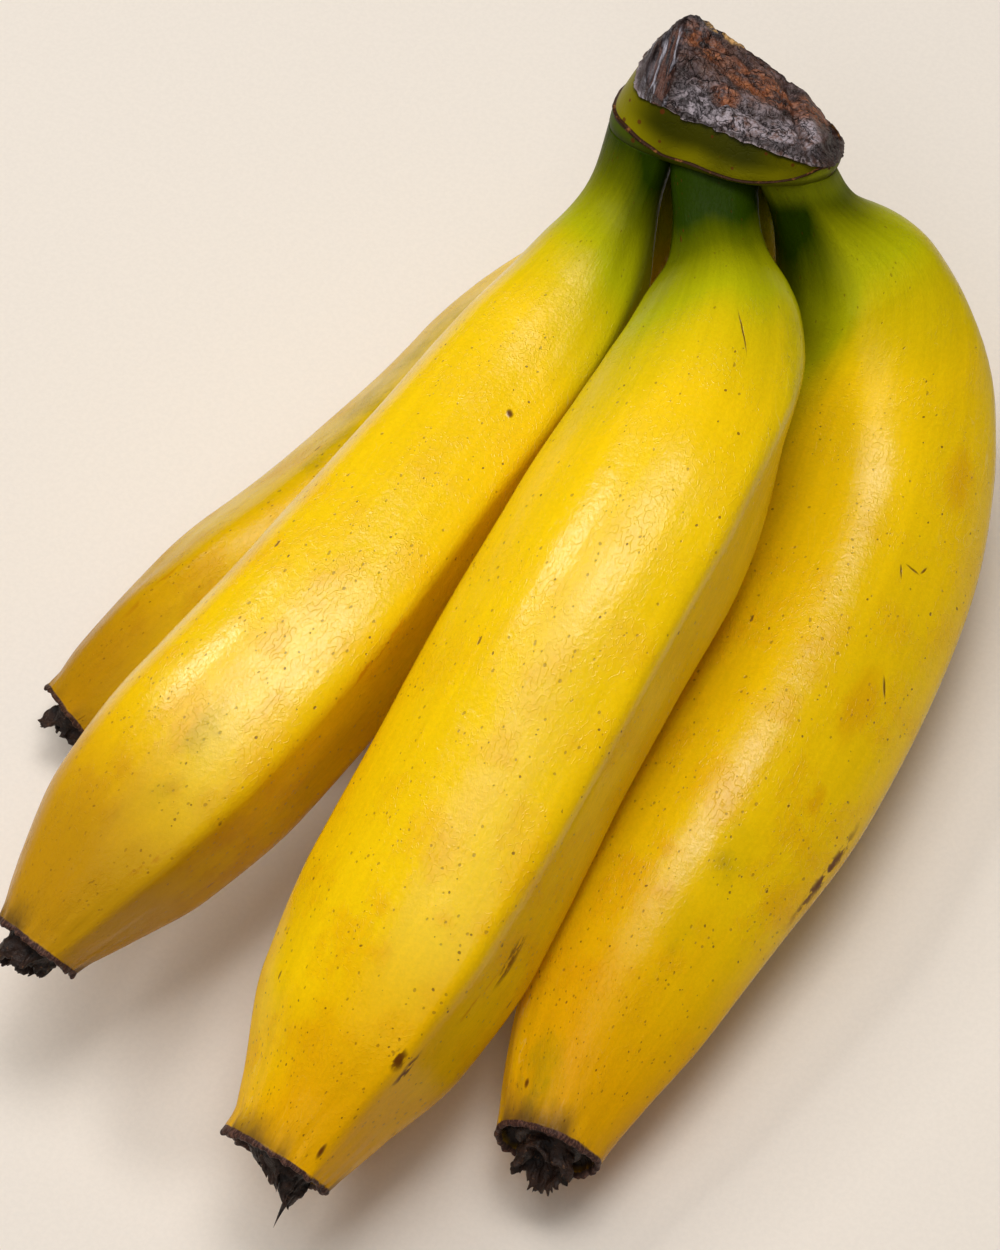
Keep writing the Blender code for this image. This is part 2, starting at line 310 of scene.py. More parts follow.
class BunchColours(bpy.types.PropertyGroup):
    stalk: colour_property("Stalk", "Olive green right under the crown", tone(124, 130, 10))
    # The neck green is darker than the necks' own green: it also stands in as painted shade from
    # the crown over the necks.
    neck: colour_property("Neck green", "Deep green of the necks", tone(36, 54, 0))
    shoulder: colour_property("Shoulder green", "Yellow green below the necks", tone(174, 172, 8))
    yellow: colour_property("Yellow", "Main yellow of the peel", tone(248, 204, 8))
    gold: colour_property("Gold", "Deeper yellow of facets and tips", tone(236, 172, 4))
    amber: colour_property("Amber", "Ripest orange patches", tone(214, 138, 2))
    speck: colour_property("Specks", "Small brown specks and dashes", tone(92, 42, 14))
    bruise: colour_property("Bruise", "Olive bruises", tone(166, 154, 8))
    smudge: colour_property("Tip smudge", "Grey brown stain round a tip", tone(62, 48, 36))
    lip: colour_property("Lip", "Corky brown lip of a tip", tone(62, 42, 37))
    dried: colour_property("Dried flower", "Dark dried flower remains", tone(30, 20, 16))
    band: colour_property("Band", "Olive yellow band of the crown", tone(132, 124, 2))
    # The tan at the tip doubles as painted shade on the lower ends of the two left bananas.
    tan: colour_property("Tan", "Duller dry skin towards a tip", tone(176, 128, 22))
    # Band shade is painted shade for the band's top under the cap's overhang; it also gives the
    # band's random darker mottling and the stalk's darker foot.
    band_dark: colour_property("Band shade", "Darker top of the band", tone(44, 46, 1))
    scar: colour_property("Scar", "Thin brown line under the crown", tone(54, 32, 16))
    cut_dark: colour_property("Cut dark", "Dark crust of the dried cut", tone(42, 31, 31))
    cut_brown: colour_property("Cut brown", "Brown crust of the dried cut", tone(104, 72, 60))
    cut_silver: colour_property("Cut silver", "Grey pith of the dried cut", tone(170, 158, 164))
    cut_rust: colour_property("Cut rust", "Rust brown patches of the cut", tone(134, 72, 36))
    floor: colour_property("Floor", "Pale warm floor", tone(236, 227, 216))


# ======================================================================
# Curves and sections
# ======================================================================
def spline(stations, values, at):
    """A natural cubic through the values, taken at each place."""
    x = np.array(stations, float)
    y = np.array(values, float)
    h = np.diff(x)
    rows = np.eye(len(x))
    right = np.zeros(len(x))
    for i in range(1, len(x) - 1):
        rows[i, i - 1 : i + 2] = h[i - 1], 2 * (h[i - 1] + h[i]), h[i]
        right[i] = 6 * ((y[i + 1] - y[i]) / h[i] - (y[i] - y[i - 1]) / h[i - 1])
    second = np.linalg.solve(rows, right)
    i = np.clip(np.searchsorted(x, at) - 1, 0, len(x) - 2)
    a = (x[i + 1] - at) / h[i]
    b = (at - x[i]) / h[i]
    bend = ((a**3 - a) * second[i] + (b**3 - b) * second[i + 1]) * h[i] ** 2 / 6
    return a * y[i] + b * y[i + 1] + bend


def eased(stations, values, at):
    """Values joined with curves that never overshoot, taken at each place."""
    x = np.array(stations, float)
    y = np.array(values, float)
    steps = np.diff(y) / np.diff(x)
    slopes = np.zeros(len(x))
    slopes[0], slopes[-1] = steps[0], steps[-1]
    for k in range(1, len(x) - 1):
        before, after = steps[k - 1], steps[k]
        slopes[k] = 2 * before * after / (before + after) if before * after > 0 else 0.0
    i = np.clip(np.searchsorted(x, at) - 1, 0, len(x) - 2)
    h = x[i + 1] - x[i]
    t = np.clip((at - x[i]) / h, 0, 1)
    start = (2 * t**3 - 3 * t**2 + 1) * y[i] + (t**3 - 2 * t**2 + t) * h * slopes[i]
    end = (3 * t**2 - 2 * t**3) * y[i + 1] + (t**3 - t**2) * h * slopes[i + 1]
    return start + end


def smooth(t):
    t = np.clip(t, 0.0, 1.0)
    return t * t * (3 - 2 * t)


def bump(distance, width):
    return np.exp(-((distance / width) ** 2))


def flat(x, y):
    """Points in a flat plane from their two coordinates."""
    return np.stack((x, y, np.zeros_like(x)), -1)


def on_crown(a, b):
    """Steps of a along the crown and b across it, for each point."""
    return CROWN_ALONG * a[:, None] + CROWN_ACROSS * b[:, None]


def unit(vectors):
    return vectors / np.linalg.norm(vectors, axis=-1, keepdims=True)


def direction(spec, at):
    heading = np.radians(spline(BEND_STATIONS, spec["heading"], at))
    dip = np.radians(spline(BEND_STATIONS, spec["dip"], at))
    return np.stack(
        (np.cos(dip) * np.cos(heading), np.cos(dip) * np.sin(heading), -np.sin(dip)), -1
    )


def centre_line(spec):
    """Points along the middle of a banana, one for each path step."""
    along, across = spec["neck"]
    start = CROWN_CENTRE + CROWN_ALONG * along + CROWN_ACROSS * across
    start = start - CROWN_FACING * JOINT_GAP
    steps = direction(spec, (np.arange(PATH_STEPS) + 0.5) / PATH_STEPS)
    run = np.cumsum(steps, axis=0) * spec["length"] / PATH_STEPS
    line = np.vstack((start, start + run))
    line[:, 0] += spec["sway"] * bump(np.linspace(0, 1, PATH_STEPS + 1) - 0.185, 0.10)
    return line


def at_stations(points, stations):
    place = np.clip(stations, 0, 1) * PATH_STEPS
    steps = np.arange(PATH_STEPS + 1)
    return np.stack([np.interp(place, steps, points[:, k]) for k in range(3)], -1)


def section_axes(spec, stations):
    """Forward, top and side directions; side is to the right seen from the tip."""
    forward = direction(spec, stations)
    top = unit(np.array((0.0, 0.0, 1.0)) - forward * forward[..., 2:3])
    return forward, top, np.cross(top, forward)


def superellipse(angle, half_length, half_depth, squareness):
    c, s = np.cos(angle), np.sin(angle)
    reach = (np.abs(c) ** squareness + np.abs(s) ** squareness) ** (-1 / squareness)
    return c * reach * half_length, s * reach * half_depth


def ripple(points, scale, seed, octaves=2):
    """Smooth noise from about -1 to 1 at each point, the same on every run."""
    shift = Vector((seed * 7.31, seed * 3.17, seed * 5.53))
    values = [
        noise.fractal(Vector(point) * scale + shift, 0.9, 2.1, octaves) for point in points
    ]
    return np.array(values)


def ridge_lift(spec, angle, wander, crest):
    """How far each point's section stands out for its ridges, and how near a crest it is."""
    share = (1.0, 0.5, 0.15, 0.15, 0.5)
    rise = np.zeros_like(angle)
    near = np.zeros_like(angle)
    for ridge, proud, part in zip(spec["ridges"], spec["proud"], share):
        gap = np.cos(angle - np.radians(ridge + wander * part)) - 1
        rise += proud * (np.exp(RIDGE_TIGHTNESS * gap) + crest * np.exp(CREST_TIGHTNESS * gap))
        near = np.maximum(near, proud * np.exp(60 * gap))
    mean = sum(spec["proud"]) * 0.13
    return rise - mean, near


def flatten(spec, radius, angle, wander, girth, strength):
    """Cuts the flat facets off the round section, with slightly softened edges."""
    sharp = FACET_SHARPNESS / girth
    for middle, depth in spec["facets"]:
        facing = np.maximum(np.cos(angle - np.radians(middle + wander)), 0.05)
        plane = girth * (1 - depth * strength) / facing
        low = np.minimum(radius, plane)
        both = np.exp(-sharp * (radius - low)) + np.exp(-sharp * (plane - low))
        radius = low - np.log(both) / sharp
    return radius


# ======================================================================
# Meshes
# ======================================================================
def flat_grid(name, steps_round, steps_along):
    """A flat grid, and for each of its points the angle round it and the row along it."""
    bpy.ops.object.select_all(action="DESELECT")
    bpy.ops.mesh.primitive_grid_add(x_subdivisions=steps_round, y_subdivisions=steps_along, size=1)
    sheet = bpy.context.active_object
    sheet.name = name
    sheet.data.name = name
    places = np.empty(len(sheet.data.vertices) * 3)
    sheet.data.vertices.foreach_get("co", places)
    places = places.reshape(-1, 3) + 0.5
    return sheet, (places[:, 0] * 2 - 1) * pi, np.rint(places[:, 1] * steps_along).astype(int)


def put_points(piece, points):
    piece.data.vertices.foreach_set("co", (points * MM).ravel())
    piece.data.update()


def put_attribute(piece, name, values):
    kind = "FLOAT_VECTOR" if values.ndim == 2 else "FLOAT"
    layer = piece.data.attributes.new(name, kind, "POINT")
    layer.data.foreach_set("vector" if values.ndim == 2 else "value", values.ravel())


def close_skin(piece):
    """Joins the seam and the poles, turns the faces outwards and smooths them."""
    bpy.ops.object.select_all(action="DESELECT")
    piece.select_set(True)
    bpy.context.view_layer.objects.active = piece
    bpy.ops.object.mode_set(mode="EDIT")
    bpy.ops.mesh.select_all(action="SELECT")
    bpy.ops.mesh.remove_doubles(threshold=1e-6)
    bpy.ops.mesh.normals_make_consistent(inside=False)
    bpy.ops.object.mode_set(mode="OBJECT")
    bpy.ops.object.shade_smooth()


def hand_over(piece, node, material):
    piece.data.materials.clear()
    piece.data.materials.append(material)
    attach(piece, "root")
    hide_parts(node)


def skin_stations(count, end_share):
    """Stations from neck to tip, closer together at both ends."""
    t = np.linspace(0, 1, count)
    eased_t = 0.62 * t + 0.38 * (t - np.sin(2 * pi * t) / (2 * pi))
    return eased_t * end_share


def banana_rows(length, rows):
    """For each row of a peel: its station, its share of the girth, and how far past the tip."""
    end = 1 - LIP_OUT / length
    cap = len(NECK_CAP)
    lip = np.array(LIP_PROFILE)[1:]
    body = skin_stations(rows - cap - len(lip), end)
    station = np.concatenate((np.zeros(cap), body, np.full(len(lip), end)))
    reach = np.concatenate((NECK_CAP, np.ones(len(body)), lip[:, 0]))
    return station, reach, np.concatenate((np.zeros(cap + len(body)), lip[:, 1]))


def neck_stub(spec, centre, points, reach):
    """Where the points would be on a squared stub that fits inside the crown's outline."""
    offset = points - centre
    offset -= CROWN_FACING * (offset @ CROWN_FACING)[:, None]
    turn = np.arctan2(offset @ CROWN_ACROSS, offset @ CROWN_ALONG)
    a, b = superellipse(turn, *spec["neck_half"], NECK_SQUARENESS)
    neck_a, neck_b = spec["neck"]
    inside = np.abs((a + neck_a) / CROWN_HALF_LENGTH) ** CROWN_SQUARENESS
    inside += np.abs((b + neck_b) / CROWN_HALF_DEPTH) ** CROWN_SQUARENESS
    pull = np.minimum(1, inside ** (-1 / CROWN_SQUARENESS))
    a = ((a + neck_a) * pull - neck_a) * reach
    b = ((b + neck_b) * pull - neck_b) * reach
    return centre + on_crown(a, b)


def banana_skin(name, spec, sizes):
    """One peel, rolled from a flat grid round its centre line."""
    length = spec["length"]
    skin, angle, row = flat_grid(name, sizes.steps_round, sizes.steps_along)
    station, reach, out = (each[row] for each in banana_rows(length, sizes.steps_along + 1))

    centre = at_stations(centre_line(spec), station)
    forward, top, side = section_axes(spec, station)
    girth = eased(GIRTH_STATIONS, spec["girth"], station)
    track = np.array(spec["wander"], float)
    wander = eased(track[:, 0], track[:, 1], station)
    lift, near = ridge_lift(spec, angle, wander, sizes.ridge_crest)
    strength = smooth((station - 0.04) / 0.2) * (1 - 0.45 * smooth((station - 0.9) / 0.1))
    place = flat(np.cos(angle) * PEEL_RADIUS, np.sin(angle) * PEEL_RADIUS)
    place[:, 2] = station * length + out

    seed = length % 17
    lumps = ripple(place * (1, 1, 0.55), 0.055, seed) * sizes.lumps / MM
    fine = ripple(place * (1, 1, 0.16), 0.42, seed + 3, 3) * sizes.wrinkles / MM
    radius = girth * (1 + strength * sizes.ridge_rise * lift)
    radius = flatten(spec, radius, angle, wander, girth, strength)
    radius += lumps * smooth(station / 0.2) + fine * (0.12 + smooth((station - 0.88) / 0.1))

    flare_at, flare = spec["flare"]
    ragged = ripple(place * (1, 1, 0), 0.30, seed + 9, 3)
    tip = smooth((station - 0.975) / 0.025)
    facing_flare = np.maximum(np.cos(angle - radians(flare_at)), 0) ** 2
    radius += tip * (0.25 + flare * facing_flare + 0.35 * ragged)
    rolled = np.where(out != 0, 1.0, 0.0)
    out = out + rolled * (0.55 * ragged + 0.5 * flare * facing_flare) * smooth((reach - 0.6) / 0.3)

    radius = radius * reach
    outwards = top * np.cos(angle)[:, None] + side * np.sin(angle)[:, None]
    points = centre + outwards * radius[:, None] + forward * out[:, None]

    neck = 1 - smooth(station / NECK_BLEND)
    points += (neck_stub(spec, centre, points, reach) - points) * neck[:, None]
    points[:, 2] = np.maximum(points[:, 2], 0.0)

    put_points(skin, points)
    put_attribute(skin, "peel_place", place * MM)
    put_attribute(skin, "growth", station)
    put_attribute(skin, "ridge", np.clip(near * strength, 0, 1.5))
    put_attribute(skin, "lip", smooth((station * length + out - length + LIP_OUT + 0.6) / 0.9))
    put_attribute(skin, "cup", smooth((0.93 - reach) / 0.06) * rolled)
    close_skin(skin)
    return skin


def crown_height(a, b, level):
    behind = b + FRONT_HINGE
    return level * (CROWN_THICK + CROWN_WEDGE * a + behind * (CUT_RISE + CUT_TWIST * a))


def crown_rows():
    """For each row of the crown: its part, its drop below the foot, its share of the outline.

    Part runs over the wall from 0 to 1, then over the cut face from 1 to 2.
    """
    under = np.array(CROWN_FOOT)
    wall = np.concatenate(
        (
            np.linspace(0, SCAR_PART - 0.01, 5),
            SCAR_PART + np.linspace(0.0, 0.03, 4),
            np.linspace(SCAR_PART + 0.05, 0.87, 20),
            (0.885, 0.895, 0.902, 0.909, 0.918, 0.93, 0.945, 0.96, 0.98, 1.0),
        )
    )
    face = np.linspace(1, 0, CROWN_FACE_ROWS + 1)[1:]
    part = np.concatenate((np.zeros(len(under)), wall, 2 - face))
    drop = np.concatenate((under[:, 1], np.zeros(len(wall) + len(face))))
    return part, drop, np.concatenate((under[:, 0], np.ones(len(wall)), face))


def crown_level(part, base_a, full, ragged):
    """Height of a part against the cut's: by the scar line, the dried cap and the cut's edge."""
    scar = eased(SCAR_PLACES, SCAR_HEIGHTS, base_a) / full
    cap = eased(CAP_PLACES, CAP_LEVELS, base_a) * (1 + 0.05 * ragged)
    lower = scar * np.clip(part / SCAR_PART, 0, 1)
    middle = (cap - scar) * np.clip((part - SCAR_PART) / (CAP_PART - SCAR_PART), 0, 1)
    upper = (1 - cap) * np.clip((part - CAP_PART) / (1 - CAP_PART), 0, 1)
    return lower + middle + upper


def crown_skin(sizes):
    """The crown: a smooth band over a scar line, and a dried cap with facets and cracks."""
    rows = crown_rows()
    skin, angle, row = flat_grid("crown_skin", CROWN_STEPS_ROUND, len(rows[0]) - 1)
    part, drop, squeeze = (each[row] for each in rows)

    base_a, base_b = superellipse(angle, CROWN_HALF_LENGTH, CROWN_HALF_DEPTH, CROWN_SQUARENESS)
    full = crown_height(base_a, base_b, 1.0)
    ragged = ripple(flat(base_a, base_b), 0.35, 31, 3)
    level = crown_level(part, base_a, full, ragged)

    width = eased(BAND_LEVELS, BAND_WIDTHS, np.clip(level, 0, 1)) * squeeze
    a, b = superellipse(
        angle, CROWN_HALF_LENGTH * width, CROWN_HALF_DEPTH * width, CROWN_SQUARENESS
    )
    back_share = smooth(0.5 + 0.5 * b / CROWN_HALF_DEPTH)
    a = np.where(a < 0, a * (1 - level * (CUT_INSET_FRONT + CUT_INSET_BACK * back_share)), a)
    # The front of the band swells over the two necks on the right.
    swell = bump(base_a - 5, 8) * smooth(-base_b / 9) * (1 - 0.8 * np.clip(level, 0, 1))
    b = b * (1 + 0.13 * swell)
    height = crown_height(a, b, level) + drop
    spot = flat(a, b)
    on_face = smooth((part - 1) / 0.03)
    # The left facet falls away from a crease, and the right end is a lobe of its own.
    facet = FACET_CREASE[0] + FACET_CREASE[1] * b
    height += on_face * np.where(a < facet, 0.25 * (a - facet), 0.0)
    height -= on_face * 0.5 * bump(a - facet, 0.5)
    lobe = LOBE_CREASE[0] + LOBE_CREASE[1] * b
    height += on_face * 1.1 * smooth((a - lobe) / 2.5) * smooth((squeeze - 0.1) / 0.2)
    height -= on_face * 0.9 * bump(a - lobe + 0.4, 0.8)
    rounding = smooth((a - 9) / 6) * smooth((part - 0.93) / 0.07) * smooth((squeeze - 0.72) / 0.28)
    height -= 1.1 * rounding
    # The peak at the far left corner.
    height += 1.6 * bump(a + 10.5, 4.0) * smooth((b - 3.0) / 6.0) * smooth(level / 0.7)

    relief = sizes.cut_relief / MM
    warp = flat(ripple(spot, 0.5, 41, 2), ripple(spot, 0.5, 43, 2))
    cracks = ripple((spot + warp) * (0.6, 1.0, 1), 0.30, 4, 4)
    cells = np.abs(ripple((spot + 2.2 * warp) * (0.6, 1.0, 1), 0.30, 11, 3))
    stripes = ripple(spot * (1.5, 0.12, 1), 1.0, 15, 2)
    in_facet = smooth((facet - a) / 1.0)
    in_lobe = smooth((a - lobe) / 1.5)
    plain = (1 - in_facet) * (1 - in_lobe)
    fibres = plain * (1.1 * cracks - 1.2 * smooth(1 - cells / 0.07))
    fibres += in_facet * 0.5 * stripes + in_lobe * 0.3 * cracks
    height += on_face * relief * fibres
    rim = smooth((part - 0.89) / 0.012)
    lip = rim * (1 - 0.75 * smooth((part - 0.92) / 0.08))
    rough_rim = ripple(np.stack((a, b, height), -1), 0.8, 21, 3)
    height += bump(part - 1.0, 0.04) * relief * 0.5 * rough_rim
    scar_line = bump(part - SCAR_PART - 0.012, 0.012)
    push = 0.45 * lip * (1 + 0.8 * rough_rim) + 0.12 * rim * stripes * (1 - on_face)
    push += scar_line * (0.40 + 0.12 * ragged)
    spread = np.hypot(a, b) + 1e-6
    a, b = a * (1 + push / spread), b * (1 + push / spread)

    put_points(skin, CROWN_CENTRE + on_crown(a, b) + CROWN_FACING * height[:, None])
    put_attribute(skin, "cut_place", np.stack((a, b, height), -1) * MM)
    put_attribute(skin, "part", part)
    put_attribute(skin, "crack", on_face * plain * smooth(1 - cells / 0.05))
    put_attribute(skin, "hollow", on_face * plain * smooth(0.2 - 1.1 * cracks))
    close_skin(skin)
    return skin


# ======================================================================
# Materials
# ======================================================================
def feed(socket, value):
    """Links a wire to an input, or sets the input to a plain value."""
    if isinstance(value, Wire):
        socket.id_data.links.new(value.socket, socket)
    elif value is not None:
        if socket.type == "RGBA" and len(value) == 3:
            value = (*value, 1.0)
        socket.default_value = value


class Wire:
    """An output in a node tree, which sums, textures and mixes are built on."""

    def __init__(self, tree, socket=None):
        self.tree, self.socket = tree, socket

    def make(self, kind, values=(), output=0, **settings):
        """Adds a node, fills its inputs in order or by key, and gives one output."""
        node = self.tree.nodes.new("ShaderNode" + kind)
        for key, value in settings.items():
            setattr(node, key, value)
        for key, value in values.items() if isinstance(values, dict) else enumerate(values):
            feed(node.inputs[key], value)
        return Wire(self.tree, node.outputs[output])

    def other(self, output):
        """Another output of the same node."""
        return Wire(self.tree, self.socket.node.outputs[output])

    def attribute(self, name, output="Fac"):
        return self.make("Attribute", output=output, attribute_name=name)

    def math(self, operation, *values):
        return self.make("Math", (self, *values), operation=operation)

    def __add__(self, value):
        return self.math("ADD", value)

    def __sub__(self, value):
        return self.math("SUBTRACT", value)

    def __mul__(self, value):
        return self.math("MULTIPLY", value)

    def __truediv__(self, value):
        return self.math("DIVIDE", value)

    def __abs__(self):
        return self.math("ABSOLUTE")

    def most(self, value):
        return self.math("MAXIMUM", value)

    def from_middle(self):
        """How far a noise is from its middle, so 0 along winding lines."""
        return abs(self - 0.5)

    def vector(self, operation, *values, output=0):
        return self.make("VectorMath", (self, *values), output, operation=operation)

    def dot(self, vector):
        return self.vector("DOT_PRODUCT", vector, output="Value")

    def stretch(self, x, y, z):
        return self.vector("MULTIPLY", (x, y, z))

    def moved(self, wobble, amount):
        return wobble.vector("MULTIPLY_ADD", (amount,) * 3, self)

    def noise(self, scale, detail, roughness, output="Fac"):
        values = {"Vector": self, "Scale": scale, "Detail": detail, "Roughness": roughness}
        return self.make("TexNoise", values, output)

    def wobble(self, scale, detail, roughness):
        """Noise that pushes a place about in all directions."""
        return self.noise(scale, detail, roughness, "Color").vector("SUBTRACT", (0.5,) * 3)

    def voronoi(self, scale, feature="F1"):
        values = {"Vector": self, "Scale": scale}
        return self.make("TexVoronoi", values, "Distance", feature=feature)

    def span(self, low, high, to_low=0.0, to_high=1.0):
        """This value brought from low..high to to_low..to_high, eased and clamped."""
        values = (self, low, high, to_low, to_high)
        return self.make("MapRange", values, interpolation_type="SMOOTHSTEP")

    def ramp(self, stops):
        made = self.make("ValToRGB", (self,))
        elements = made.socket.node.color_ramp.elements
        while len(elements) < len(stops):
            elements.new(0.5)
        for element, (position, colour) in zip(elements, stops):
            element.position = position
            element.color = (*colour, 1.0)
        return made

    def blend(self, a, b):
        """Colour a where this share is 0, turning to colour b where it is 1."""
        return self.make("Mix", {0: self, 6: a, 7: b}, 2, data_type="RGBA")

    def tinted(self, colour, share=1.0):
        values = {0: share, 6: self, 7: colour}
        return self.make("Mix", values, 2, data_type="RGBA", blend_type="MULTIPLY")

    def bump(self, distance, strength, normal=None):
        values = {"Strength": strength, "Distance": distance, "Height": self, "Normal": normal}
        return self.make("Bump", values)


def halfway(one, other):
    return tuple(0.5 * (x + y) for x, y in zip(one, other))


def new_material(name):
    material = bpy.data.materials.new(name)
    material.use_nodes = True
    return material, Wire(material.node_tree)


def paint(material, values):
    """Feeds the material's shader and gives the material."""
    shader = material.node_tree.nodes["Principled BSDF"]
    for name, value in values.items():
        feed(shader.inputs[name], value)
    return material


def mark_group():
    """A node group: 1 inside an ellipse on the peel, falling to 0 at its edge."""
    if "peel_mark" in bpy.data.node_groups:
        return bpy.data.node_groups["peel_mark"]
    group = bpy.data.node_groups.new("peel_mark", "ShaderNodeTree")
    vectors, numbers = ("Place", "Centre", "Direction"), ("Half length", "Half width")
    for name in vectors + numbers:
        kind = "NodeSocketVector" if name in vectors else "NodeSocketFloat"
        group.interface.new_socket(name, in_out="INPUT", socket_type=kind)
    group.interface.new_socket("Mask", in_out="OUTPUT", socket_type="NodeSocketFloat")
    outputs = group.nodes.new("NodeGroupInput").outputs
    place, centre, run, half_length, half_width = (Wire(group, outputs[k]) for k in range(5))
    away = place.vector("SUBTRACT", centre)
    lengthwise = away.dot(run)
    squared = lengthwise * lengthwise
    crosswise = away.dot(away) - squared
    far = squared / (half_length * half_length) + crosswise / (half_width * half_width)
    feed(group.nodes.new("NodeGroupOutput").inputs["Mask"], far.span(1.0, 0.0))
    return group


def peel_mark(place, spec, station, degrees_round, half_length, half_width, turned):
    angle, lean = radians(degrees_round), radians(turned)
    radius = PEEL_RADIUS * MM
    centre = (cos(angle) * radius, sin(angle) * radius, station * spec["length"] * MM)
    run = (-sin(angle) * sin(lean), cos(angle) * sin(lean), cos(lean))
    values = (place, centre, run, half_length * MM, half_width * MM)
    return place.make("Group", values, node_tree=mark_group())


def flecks(place, scale, share, size, spread):
    """Specks in some of the cells of a scattered pattern, where spread lets them."""
    cells = place.voronoi(scale)
    chance = cells.make("SeparateColor", (cells.other("Color"),))
    chosen = chance.math("LESS_THAN", spread * share)
    grown = chance.other(1) * size + size * 0.4
    return (cells - grown).span(size * 0.5, 0.0) * chosen


MARK_LOOKS = {
    # kind: (colour property, share, bump share, wobble in mm)
    "scab": ("speck", 0.95, 0.8, 0.4),
    "scratch": ("speck", 0.85, -0.6, 0.3),
    "blotch": ("speck", 0.95, -0.3, 0.8),
    "scuff": ("amber", 0.7, 0.0, 0.8),
    "deep": ("amber", 0.38, 0.0, 1.6),
    "green": ("bruise", 0.45, 0.0, 2.0),
}


def ripening_colour(spec, colours, place, growth, streaks, broad):
    """From the green neck to the gold tip, and how ripe each place is drawn."""
    neck_shift, tip_shift = spec["ripe"]
    drawn = (broad - 0.5) * 0.07 + ((streaks - 0.5) * 0.008 + growth)
    # One flank stays green and dark for longer: partly its own green, partly painted shade from
    # the neighbour beside it.
    flank, delay = spec["green_and_shaded_flank"]
    reach = PEEL_RADIUS * MM
    aim = (cos(radians(flank)) / reach, sin(radians(flank)) / reach, 0.0)
    facing = place.dot(aim).span(0.25, 1.0)
    drawn = facing * growth.span(0.05, 0.42, -0.6 * delay, -1.9 * delay) + drawn
    green_end = 0.12 + neck_shift
    darker = halfway(colours.neck, halfway(colours.neck, colours.shoulder))
    # The dark neck stops are partly the necks' own deep green and partly painted shade from the
    # crown over them.
    colour = drawn.ramp(
        (
            (0.0, colours.neck),
            (0.03 + neck_shift, colours.neck),
            (0.075 + neck_shift, darker),
            (green_end - 0.012, halfway(colours.shoulder, darker)),
            (green_end + 0.02, colours.shoulder),
            (green_end + 0.06, halfway(colours.shoulder, colours.yellow)),
            (green_end + 0.14, colours.yellow),
            (0.80 - tip_shift, colours.yellow),
            (0.94, colours.gold),
        )
    )
    if spec["olive"]:
        under_scar = (broad - 0.5) * 0.012 + growth
        share = under_scar.span(spec["olive"], spec["olive"] * 0.3, 0.0, 0.8)
        colour = share.blend(colour, colours.stalk)
    return colour, drawn.span(green_end + 0.03, 0.95, 0.0, 0.75)


def speckles(place, wobble, growth, patches):
    """Dots, dust, dashes and spots, more of them towards the tip."""
    scattered = place.moved(wobble, 0.0012)
    round_place = scattered.stretch(1, 1, 0.8)
    crowd = growth.span(0.10, 1.0, 0.25, 1.0) * patches.span(0.38, 0.62, 0.3, 1.0)
    dots = flecks(round_place, 480.0, 1.3, 0.066, crowd)
    dust = flecks(round_place, 1000.0, 0.75, 0.15, crowd)
    dashes = flecks(scattered.stretch(1, 1, 0.3), 260.0, 0.30, 0.06, crowd)
    spots = flecks(scattered.stretch(1, 1, 0.6), 120.0, 0.10, 0.036, crowd)
    return dots.most(dashes.most(spots)).most(dust * 0.6)


